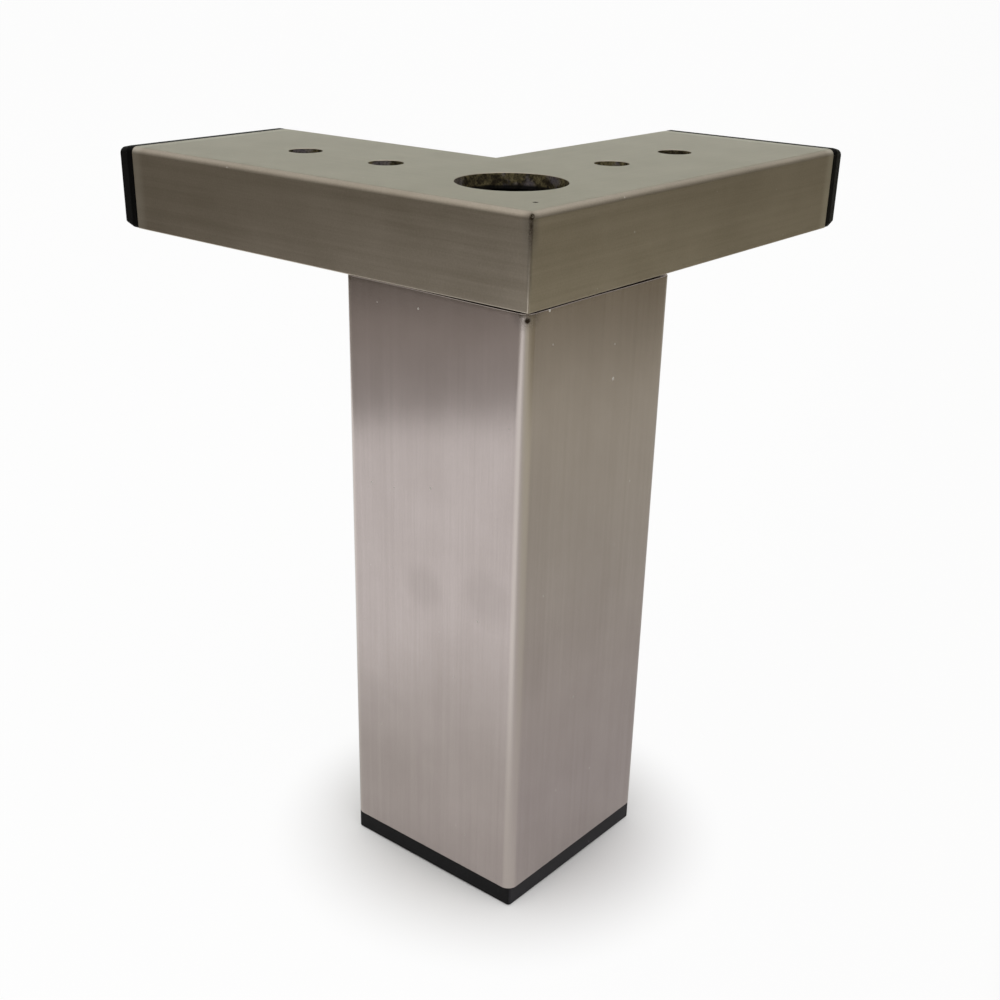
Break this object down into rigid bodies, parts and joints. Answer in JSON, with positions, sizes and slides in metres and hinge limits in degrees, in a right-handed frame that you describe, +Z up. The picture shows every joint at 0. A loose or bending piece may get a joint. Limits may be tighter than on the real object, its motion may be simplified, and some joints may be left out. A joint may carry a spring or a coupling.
{
  "type": "square metal table leg",
  "caption": "Square tube furniture leg under an L-shaped corner bracket of mitred flat tube, with screw holes, an access hole, black plastic end caps and a plastic foot.",
  "frame": {"origin": "centre of the foot's underside, on the leg's axis", "axes": "+Z up along the leg, +X along the right arm and +Y along the left arm, away from the bracket's outer corner"},
  "size_m": [0.1256, 0.1256, 0.16],
  "materials": {
    "brushed_tube": "fine brushed, satin",
    "black_plastic": "moulded, fine texture",
    "plain_steel": "mill finish, dull",
    "zinc_steel": "zinc plated"
  },
  "bodies": {
    "root": {"right_arm_tube": "brushed_tube", "left_arm_tube": "brushed_tube", "leg_tube": "brushed_tube", "right_end_cap": "black_plastic", "left_end_cap": "black_plastic", "foot_insert": "black_plastic", "leg_top_plate": "plain_steel", "weld_nut": "zinc_steel", "clamp_bolt": "zinc_steel", "bolt_washer": "zinc_steel"}
  },
  "joints": []
}
